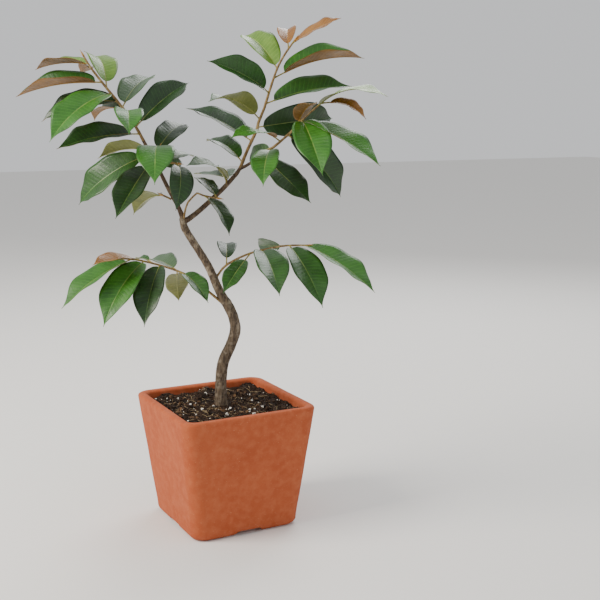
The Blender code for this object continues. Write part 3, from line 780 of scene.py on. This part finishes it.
def blade_shape(shape, leaf, finishes):
    """A closed thin blade whose rows follow the side veins, with its own finish on each face."""
    rows = vein_rows(leaf)
    across = [-a for a in reversed(ACROSS[1:])] + list(ACROSS)
    count = len(across)
    middle = count // 2
    half = BLADE_THICKNESS / 2
    verts = []
    for level in (half, -half):
        for t, _ in rows:
            for a in across:
                place, normal = leaf.quilted(a, t)
                verts.append(place + normal * level * (1 - MARGIN_THINNING * abs(a)))
    top_blade, top_vein, top_rib = finishes[leaf.tint]
    low_blade, low_vein, low_rib = finishes[leaf.under]
    faces = []
    finish = []
    offset = len(rows) * count
    for k, (_, on_vein) in enumerate(rows[:-1]):
        for j in range(count - 1):
            a = k * count + j
            b = a + count
            rib = j in (middle - 1, middle)
            vein = on_vein and 0 < j < count - 2
            faces.append((a, a + 1, b + 1, b))
            finish.append(top_rib if rib else top_vein if vein else top_blade)
            faces.append((a + offset, b + offset, b + 1 + offset, a + 1 + offset))
            finish.append(low_rib if rib else low_vein if vein else low_blade)
    rim = [*range(count), *range(2 * count - 1, offset, count)]
    rim += range(offset - 2, offset - count - 1, -1)
    rim += range(offset - 2 * count, 0, -count)
    for a, b in zip(rim, rim[1:] + rim[:1]):
        faces.append((b, a, a + offset, b + offset))
        finish.append(low_blade)
    shape.add(verts, faces, finish)
    rib_route = []
    for k in range(RIB_POINTS):
        t = LAST_ROW * k / (RIB_POINTS - 1)
        point, _, normal = leaf.midrib(t)
        radius = PETIOLE_END_RADIUS * (1 - RIB_TAPER * t)
        rib_route.append(Vector((*(point - normal * radius * RIB_SINK), radius)))
    limb_shape(shape, rib_route, PETIOLE_SIDES, low_rib)


def petiole_shape(shape, leaf, finish):
    """The leaf's stalk, swollen where it leaves the stem."""
    if (leaf.base - leaf.root).length < SHORTEST_PETIOLE:
        return
    route = []
    for k in range(PETIOLE_POINTS):
        t = k / (PETIOLE_POINTS - 1)
        slimming = (PETIOLE_ROOT_RADIUS - PETIOLE_END_RADIUS) * min(1, PETIOLE_SWELL * t)
        route.append(Vector((*leaf.root.lerp(leaf.base, t), PETIOLE_ROOT_RADIUS - slimming)))
    limb_shape(shape, route, PETIOLE_SIDES, finish)


def bud_shape(shape, stem, finish):
    """A folded young leaf at the tip of a stem."""
    tip = stem[-1]
    ahead = (tip - stem[-2]).xyz.normalized()
    route = []
    for k in range(BUD_POINTS):
        t = k / (BUD_POINTS - 1)
        belly = 1 + BUD_BELLY * math.sin(math.pi * min(1, BUD_BELLY_RUN * t))
        radius = tip.w * belly * (1 - t) ** BUD_TAPER + BUD_TIP_RADIUS
        route.append(Vector((*(tip.xyz + ahead * BUD_LENGTH * t), radius)))
    limb_shape(shape, route, PETIOLE_SIDES, finish)


def coarse_tree(leaf):
    """A plain mesh of the blade, to feel for what it would touch."""
    count = len(COARSE_ACROSS)
    verts = [CROWN @ (leaf.surface(a, t)[0] * MM) for t in COARSE_ROWS for a in COARSE_ACROSS]
    faces = []
    for k in range(len(COARSE_ROWS) - 1):
        for j in range(count - 1):
            a = count * k + j
            faces.append((a, a + 1, a + count + 1, a + count))
    return BVHTree.FromPolygons(verts, faces)


def node_tree_of(name):
    """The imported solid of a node, to feel for what touches it."""
    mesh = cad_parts[name].data
    faces = [tuple(face.vertices) for face in mesh.polygons]
    return BVHTree.FromPolygons([vert.co for vert in mesh.vertices], faces)


def make_foliage(name, branches, walls, finishes, wood):
    """The mass's leaves and twigs as two pieces, without a leaf that would touch a neighbour."""
    chance = random.Random(f"{name} {SEED}")
    numbers = {}
    materials = []
    for tint, mats in finishes.items():
        numbers[tint] = tuple(range(len(materials), len(materials) + 3))
        materials.extend(mats)
    leaves = Shape()
    twigs = Shape()
    for stem, _ in branches:
        ended = round_end(resample(stem, TWIG_STEP), TWIG_END_STEPS)
        limb_shape(twigs, ended, TWIG_SIDES, 0, twig_swell)
        bud_shape(twigs, stem, 1)
    for stem, rows in branches:
        for row in rows:
            leaf = Leaf(stem, chance, *row)
            felt = coarse_tree(leaf)
            if any(felt.overlap(wall) for wall in walls):
                continue
            blade_shape(leaves, leaf, numbers)
            petiole_shape(twigs, leaf, 2)
    pieces = (leaves.piece(name + "_leaves", materials), twigs.piece(name + "_twigs", wood))
    for piece, slot in zip(pieces, ("leaf", "bark")):
        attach(piece, "root")
        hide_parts(name)


def bough_routes():
    """The boughs' names and routes."""
    left = smooth_route(LEFT_LIMB, COARSE_STEP)
    right = smooth_route(RIGHT_BOUGH, COARSE_STEP)
    arm = smooth_route(RIGHT_ARM_LIMB, COARSE_STEP)
    return (
        ("left_bough", cut_route(left, 0, LEFT_BOUGH_SHARE, COARSE_STEP)),
        ("right_bough", right),
        ("right_arm", cut_route(arm, 0, RIGHT_ARM_SHARE, COARSE_STEP)),
    )


def foliage_plans():
    """The masses: name, then each stem with the rows of the leaves along it."""
    left = smooth_route(LEFT_LIMB, COARSE_STEP)
    arm = smooth_route(RIGHT_ARM_LIMB, COARSE_STEP)

    def branch(waypoints, rows):
        return smooth_route(waypoints, COARSE_STEP), rows

    return (
        ("left_top_foliage", (cut_route(left, LEFT_BOUGH_SHARE, 1, COARSE_STEP), LEFT_TOP_LEAVES)),
        ("left_middle_foliage", branch(LEFT_MID_STEM, LEFT_MID_LEAVES),
         branch(LEFT_MID_LEFT, LEFT_MID_LEFT_LEAVES), branch(LEFT_MID_RIGHT, LEFT_MID_RIGHT_LEAVES)),
        ("left_low_leaf", branch(BOUGH_LEAF_STEM, BOUGH_LEAVES)),
        ("fork_sprig", branch(FORK_SPRIG_STEM, FORK_SPRIG_LEAVES)),
        ("inner_foliage", branch(INNER_STEM, INNER_LEAVES)),
        ("right_top_foliage", branch(UPPER_RIGHT_LIMB, RIGHT_TOP_LEAVES)),
        ("right_arm_foliage", (cut_route(arm, RIGHT_ARM_SHARE, 1, COARSE_STEP), RIGHT_ARM_LEAVES)),
        ("low_left_foliage", branch(LOW_LEFT_STEM, LOW_LEFT_LEAVES)),
        ("low_right_foliage", branch(LOW_RIGHT_STEM, LOW_RIGHT_LEAVES)),
    )


def make_limbs(old_bark, young_bark):
    """Trunk and boughs with the relief of their bark; the trunk's foot is a little under the soil."""
    trunk = Shape()
    route = round_end(smooth_route(TRUNK, TRUNK_STEP))
    route = [point for point in route if point.z >= SOIL_LEVEL - TRUNK_SINK]
    limb_shape(trunk, route, TRUNK_SIDES, 0, bark_swell(*TRUNK_CRACK))
    made = [("trunk", trunk, old_bark)]
    for name, route in bough_routes():
        bough = Shape()
        ended = round_end(resample(route, BOUGH_STEP))
        limb_shape(bough, ended, BOUGH_SIDES, 0, bark_swell(*BOUGH_CRACK))
        made.append((name, bough, young_bark))
    for name, shape, bark in made:
        piece = shape.piece(name + "_bark", [bark])
        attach(piece, "root")
        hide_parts(name)


# Pot and soil


def turned(x, y, angle):
    """A place turned about the pot's axis."""
    return (x * math.cos(angle) - y * math.sin(angle), x * math.sin(angle) + y * math.cos(angle))


def outer_side(height):
    """Side of the pot's outer square at a height."""
    return POT_BASE_SIDE + (POT_RIM_SIDE - POT_BASE_SIDE) * height / POT_HEIGHT


def rounded_square(half, corner):
    """Points round a square with rounded corners, the same number for every size."""
    straight = half - corner
    side = [(half, -straight + 2 * straight * k / SIDE_STEPS) for k in range(SIDE_STEPS)]
    for k in range(CORNER_STEPS):
        angle = math.pi / 2 * k / CORNER_STEPS
        side.append((straight + corner * math.cos(angle), straight + corner * math.sin(angle)))
    return [turned(x, y, quarter * math.pi / 2) for quarter in range(4) for x, y in side]


def pot_profile():
    """Rings from the middle of the underside, up the wall, over the lip and down to the floor:
    inset from the wall's outer face, height, and the corner's radius there."""
    rings = []
    for share in UNDERSIDE_SHARES:
        rings.append(((1 - share) * POT_BASE_SIDE / 2, 0, POT_CORNER_RADIUS * share))
    quarter = [math.pi / 2 * k / ROUNDING_STEPS for k in range(ROUNDING_STEPS + 1)]
    for angle in quarter:
        inset = FOOT_ROUNDING * (1 - math.sin(angle))
        corner = POT_CORNER_RADIUS - FOOT_CORNER_SHARE * inset
        rings.append((inset, FOOT_ROUNDING * (1 - math.cos(angle)), corner))
    top = POT_HEIGHT - LIP_ROUNDING
    for k in range(1, OUTER_ROWS):
        rings.append((0, FOOT_ROUNDING + (top - FOOT_ROUNDING) * k / OUTER_ROWS, POT_CORNER_RADIUS))
    for angle in quarter:
        inset = LIP_ROUNDING * (1 - math.cos(angle))
        rings.append((inset, top + LIP_ROUNDING * math.sin(angle), POT_CORNER_RADIUS))
    narrowing = (POT_CORNER_RADIUS - CAVITY_CORNER_RADIUS) / 2
    for angle in quarter:
        inset = POT_WALL - LIP_ROUNDING * (1 - math.sin(angle))
        corner = POT_CORNER_RADIUS - narrowing * (1 + math.sin(angle))
        rings.append((inset, top + LIP_ROUNDING * math.cos(angle), corner))
    for k in range(1, INNER_ROWS):
        rings.append((POT_WALL, top - (top - POT_FLOOR) * k / INNER_ROWS, CAVITY_CORNER_RADIUS))
    for share in FLOOR_SHARES:
        rings.append((POT_WALL + (1 - share) * FLOOR_REACH, POT_FLOOR, CAVITY_CORNER_RADIUS * share))
    return rings


def clay_unevenness(place):
    """Slow dents and swells that a pressed wall keeps."""
    return sum(depth * noise.noise(Vector(place) / run) for run, depth in CLAY_DENTS) - DENT_SINK


def make_pot(clay):
    """The pot's wall, lip and floor in one skin, with the channels and drainage holes cut out."""
    shape = Shape()
    verts = []
    rings = pot_profile()
    for inset, height, corner in rings:
        half = outer_side(height) / 2 - inset
        for x, y in rounded_square(half, max(SMALLEST_CORNER, min(corner, ROUNDEST_CORNER * half))):
            if inset < POT_WALL and height > FOOT_ROUNDING:
                dent = clay_unevenness((x, y, height))
                away = math.hypot(x, y)
                x += dent * x / away
                y += dent * y / away
            verts.append((x, y, height))
    shape.add(verts, tube_faces(len(rings), 4 * (SIDE_STEPS + CORNER_STEPS)), 0)
    pot = shape.piece("clay_pot", [clay], Matrix.Identity(4))
    for quarter in range(4):
        for cutter in drain_cutters(quarter * math.pi / 2):
            mod = pot.modifiers.new("drain", "BOOLEAN")
            mod.operation = "DIFFERENCE"
            mod.solver = "EXACT"
            mod.object = cutter
            settle(pot)
            bpy.data.objects.remove(cutter, do_unlink=True)
    pot.data.set_sharp_from_angle(angle=math.radians(SHARP_ANGLE))
    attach(pot, "root")
    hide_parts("pot")


def settle(obj):
    """Apply the modifiers of an object by taking its evaluated mesh."""
    bpy.context.view_layer.update()
    graph = bpy.context.evaluated_depsgraph_get()
    mesh = bpy.data.meshes.new_from_object(obj.evaluated_get(graph))
    obj.modifiers.clear()
    obj.data = mesh


def object_from(name, bm):
    """An edited mesh as an object in the scene, its faces turned outwards."""
    bmesh.ops.recalc_face_normals(bm, faces=bm.faces)
    mesh = bpy.data.meshes.new(name)
    bm.to_mesh(mesh)
    bm.free()
    obj = bpy.data.objects.new(name, mesh)
    bpy.context.scene.collection.objects.link(obj)
    return obj


def drain_cutters(turn):
    """The channel under one side, its edges eased, and the drainage hole at its inner end."""
    slope = (NOTCH_FOOT_WIDTH - NOTCH_TOP_WIDTH) / NOTCH_HEIGHT
    low_width = NOTCH_FOOT_WIDTH + slope * CLEAR_PAST
    bm = bmesh.new()
    bmesh.ops.create_cube(bm, size=1)
    for vert in bm.verts:
        width = NOTCH_TOP_WIDTH if vert.co.z > 0 else low_width
        height = NOTCH_HEIGHT if vert.co.z > 0 else -CLEAR_PAST
        reach = POT_BASE_SIDE / 2 + CLEAR_PAST if vert.co.x > 0 else DRAIN_OFFSET
        vert.co = Vector((reach, math.copysign(width / 2, vert.co.y), height)) * MM
    ridges = [e for e in bm.edges if all(v.co.z > 0 for v in e.verts)]
    bmesh.ops.bevel(bm, geom=ridges, offset=NOTCH_EDGE * MM, segments=NOTCH_EDGE_STEPS, profile=0.5,
                    affect="EDGES")
    channel = object_from("channel", bm)
    channel.rotation_euler.z = turn
    bm = bmesh.new()
    bmesh.ops.create_cone(bm, cap_ends=True, segments=DRAIN_SIDES, radius1=DRAIN_RADIUS * MM,
                          radius2=DRAIN_RADIUS * MM, depth=2 * (POT_FLOOR + CLEAR_PAST) * MM)
    hole = object_from("hole", bm)
    hole.location = (DRAIN_OFFSET * MM * math.cos(turn), DRAIN_OFFSET * MM * math.sin(turn), 0)
    return channel, hole


def soil_height(x, y):
    """Low hills, one peak behind the trunk, and a flat place under its foot."""
    crown_turn = math.radians(CROWN_TURN)
    broad = math.sin(SOIL_WAVES[0] * x + SOIL_SHIFTS[0]) * math.cos(SOIL_WAVES[1] * y + SOIL_SHIFTS[1])
    cross = math.sin(SOIL_CROSS_WAVE[0] * x - SOIL_CROSS_WAVE[1] * y)
    hills = SOIL_HILL * (broad + SOIL_CROSS_SHARE * cross)
    peak_x, peak_y = turned(*SOIL_PEAK, crown_turn)
    off_peak = math.hypot(x - peak_x, y - peak_y) / SOIL_PEAK_RADIUS
    peak = SOIL_PEAK_HEIGHT * math.exp(-off_peak ** 2)
    foot_x, foot_y = turned(*TRUNK[0][:2], crown_turn)
    away = math.hypot(x - foot_x, y - foot_y)
    blend = min(1, max(0, (away - SOIL_FLAT_RADIUS) / SOIL_BLEND))
    return SOIL_LEVEL + blend * (hills + peak)


def crumbled(x, y):
    """The soil's height with its lumps."""
    lumps = sum(high * noise.noise(Vector((x / run, y / run, at))) for high, run, at in SOIL_LUMPS)
    return soil_height(x, y) + lumps - LUMP_SINK


def inner_half(height):
    """Half the side of the soil at a height, clear of the pot's wall."""
    return outer_side(height) / 2 - POT_WALL - SOIL_GAP


def make_soil(peat):
    """The body of the soil: a lumpy top over walls that follow the pot."""
    half = inner_half(SOIL_LEVEL)
    corner = CAVITY_CORNER_RADIUS
    shape = Shape()
    verts = []
    faces = []
    count = SOIL_STEPS + 1
    for i in range(count):
        for j in range(count):
            x = half * (2 * i / SOIL_STEPS - 1)
            y = half * (2 * j / SOIL_STEPS - 1)
            over_x = abs(x) - (half - corner)
            over_y = abs(y) - (half - corner)
            if over_x > 0 and over_y > 0:
                shrink = max(over_x, over_y) / math.hypot(over_x, over_y)
                x = math.copysign(half - corner + over_x * shrink, x)
                y = math.copysign(half - corner + over_y * shrink, y)
            verts.append((x, y, crumbled(x, y)))
    for i in range(SOIL_STEPS):
        for j in range(SOIL_STEPS):
            a = i * count + j
            faces.append((a, a + count, a + count + 1, a + 1))
    last = SOIL_STEPS * count
    rim = [*range(0, last, count), *range(last, last + count)]
    rim += [*range(last - 1, 0, -count), *range(SOIL_STEPS - 1, 0, -1)]
    foot = POT_FLOOR + SOIL_GAP
    shrink = inner_half(foot) / half
    first = len(verts)
    verts.extend((verts[r][0] * shrink, verts[r][1] * shrink, foot) for r in rim)
    for k in range(len(rim)):
        after = (k + 1) % len(rim)
        faces.append((rim[k], first + k, first + after, rim[after]))
    faces.append(tuple(first + k for k in reversed(range(len(rim)))))
    shape.add(verts, faces, 0)
    piece = shape.piece("soil_body", [peat], Matrix.Identity(4))
    bm = bmesh.new()
    bm.from_mesh(piece.data)
    bmesh.ops.recalc_face_normals(bm, faces=bm.faces)
    bm.to_mesh(piece.data)
    bm.free()
    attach(piece, "root")
    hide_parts("soil")


def lump(shape, place, size, chance, finish):
    """An irregular bit: a squashed block with each corner moved by chance."""
    verts = []
    angle = chance.uniform(0, BIT_TURN)
    axis = Vector((chance.uniform(-1, 1), chance.uniform(-1, 1), 1))
    turn = Matrix.Rotation(angle, 3, axis)
    for x in (-1, 1):
        for y in (-1, 1):
            for z in (-1, 1):
                reaches = [chance.uniform(*span) for span in BIT_REACH]
                corner = Vector((x * reaches[0], y * reaches[1], z * reaches[2]))
                verts.append(Vector(place) + turn @ corner * size / 2)
    faces = ((0, 1, 3, 2), (4, 6, 7, 5), (0, 4, 5, 1), (2, 3, 7, 6), (0, 2, 6, 4), (1, 5, 7, 3))
    shape.add(verts, faces, finish)


def chance_place(chance, margin):
    """A chance place on the soil, clear of the pot's wall."""
    half = inner_half(SOIL_LEVEL) - margin
    x = chance.uniform(-half, half)
    y = chance.uniform(-half, half)
    return x, y


def strew(shape, chance, count, margin, smallest, spread, rarity, lift, finishes):
    """Irregular bits all over the soil, most of them small."""
    for _ in range(count):
        x, y = chance_place(chance, margin)
        size = smallest + spread * chance.random() ** rarity
        finish = chance.choice(finishes) if len(finishes) > 1 else finishes[0]
        lump(shape, (x, y, crumbled(x, y) + lift * size), size, chance, finish)


def rootlet_route(chance):
    """A fine root that arches along the soil."""
    x, y = chance_place(chance, ROOTLET_MARGIN)
    heading = chance.uniform(0, 2 * math.pi)
    length = chance.uniform(*ROOTLET_LENGTH)
    bend = chance.uniform(-ROOTLET_BEND, ROOTLET_BEND)
    route = []
    for k in range(ROOTLET_POINTS):
        t = k / (ROOTLET_POINTS - 1)
        angle = heading + bend * t
        at_x = x + length * (t - 0.5) * math.cos(angle)
        at_y = y + length * (t - 0.5) * math.sin(angle)
        lift = ROOTLET_LIFT + ROOTLET_ARCH * math.sin(math.pi * t)
        radius = chance.uniform(*ROOTLET_RADIUS)
        route.append(Vector((at_x, at_y, crumbled(at_x, at_y) + lift, radius)))
    return route


def make_top_dressing(brown, dark, bark_chip, perlite, root_fibre):
    """What lies loose on the soil: crumbs with bark chips among them, perlite and fine roots."""
    chance = random.Random(SEED)
    crumbs = Shape()
    white = Shape()
    roots = Shape()
    for shape, kind in ((crumbs, CRUMBS), (crumbs, CHIPS), (white, PERLITE)):
        strew(shape, chance, *kind)
    for _ in range(ROOTLET_COUNT):
        limb_shape(roots, rootlet_route(chance), ROOTLET_SIDES, 0)
    pieces = (
        crumbs.piece("soil_crumbs", [brown, dark, bark_chip], Matrix.Identity(4), False),
        white.piece("soil_perlite", [perlite], Matrix.Identity(4), False),
        roots.piece("soil_rootlets", [root_fibre], Matrix.Identity(4), True),
    )
    for piece in pieces:
        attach(piece, "root")


# Studio


def lamp(name, place, target, size, power, colour):
    """A square lamp at a place in the crown frame, facing another; its size is in metres."""
    light = bpy.data.lights.new(name, "AREA")
    light.shape = "SQUARE"
    light.size = size
    light.energy = power
    light.color = linear(colour)[:3]
    obj = bpy.data.objects.new(name, light)
    bpy.context.scene.collection.objects.link(obj)
    where = CROWN @ (Vector(place) * MM)
    obj.location = where
    obj.rotation_euler = (CROWN @ (Vector(target) * MM) - where).to_track_quat("-Z", "Y").to_euler()


def make_studio():
    """A pale floor, a soft key light from the left, weaker ones from the right and behind, and the
    camera."""
    mat = bpy.data.materials.new("pale_floor")
    mat.use_nodes = True
    shader = mat.node_tree.nodes["Principled BSDF"]
    shader.inputs["Base Color"].default_value = linear("#E7E5E1")
    shader.inputs["Roughness"].default_value = 0.9
    bm = bmesh.new()
    bmesh.ops.create_grid(bm, x_segments=1, y_segments=1, size=FLOOR_SIZE)
    floor = object_from("floor", bm)
    floor.data.materials.append(mat)

    lamp("key", (-1700, -700, 1500), (0, 0, 300), 1.1, 70, "#FFF8EE")
    lamp("fill", (1500, -1300, 900), (0, 0, 300), 1.6, 7, "#F2F6FF")
    lamp("back", (500, 1500, 1500), (0, 0, 400), 1.2, 22, "#FFFFFF")
    world = bpy.data.worlds.new("studio")
    world.use_nodes = True
    sky = world.node_tree.nodes["Background"]
    sky.inputs["Color"].default_value = linear("#F4F5F7")
    sky.inputs["Strength"].default_value = 0.8
    bpy.context.scene.world = world

    camera = bpy.data.objects.new("camera", bpy.data.cameras.new("camera"))
    camera.data.lens = FOCAL
    camera.data.sensor_width = SENSOR
    camera.location = CROWN @ (Vector(EYE) * MM)
    camera.rotation_euler = (math.radians(90 - LOOK_DOWN), 0, math.radians(CROWN_TURN))
    bpy.context.scene.collection.objects.link(camera)
    bpy.context.scene.camera = camera


def main():
    """Build the studio, then the pot, the soil, the limbs and the masses of foliage."""
    make_studio()
    make_pot(pressed_terracotta())
    make_soil(peat_mix())
    make_top_dressing(
        crumbs_of("peat_crumb", "#2E2118", "#4A3627"),
        crumbs_of("dark_crumb", "#150F0B", "#2A1E16"),
        crumbs_of("bark_chip", "#4F3A28", "#7A5C40"),
        expanded_perlite(),
        crumbs_of("root_fibre", "#8A7350", "#C2AC86"),
    )
    old_bark = grown_bark("trunk_bark", "#41352A", "#6F5F4C", "#8C7F6C", 2.2, 0.5)
    young_bark = grown_bark("bough_bark", "#362A20", "#5C4936", "#74634E", 1.6, 0.3)
    twig_bark = grown_bark("twig_bark", "#5F4A2C", "#8B7146", "#A08A5E", 1.4, 0.15)
    bud = silky_underside("bud_down", "#8A5F26", "#B98A42")
    petiole = grown_bark("petiole_skin", "#6E6226", "#93843A", "#A79A52", 1.6, 0.1)
    make_limbs(old_bark, young_bark)
    finishes = tint_materials()
    walls = [node_tree_of(name) for name in ("trunk", "left_bough", "right_bough", "right_arm")]
    for name, *branches in foliage_plans():
        make_foliage(name, branches, walls, finishes, [twig_bark, bud, petiole])
        walls.append(node_tree_of(name))


main()
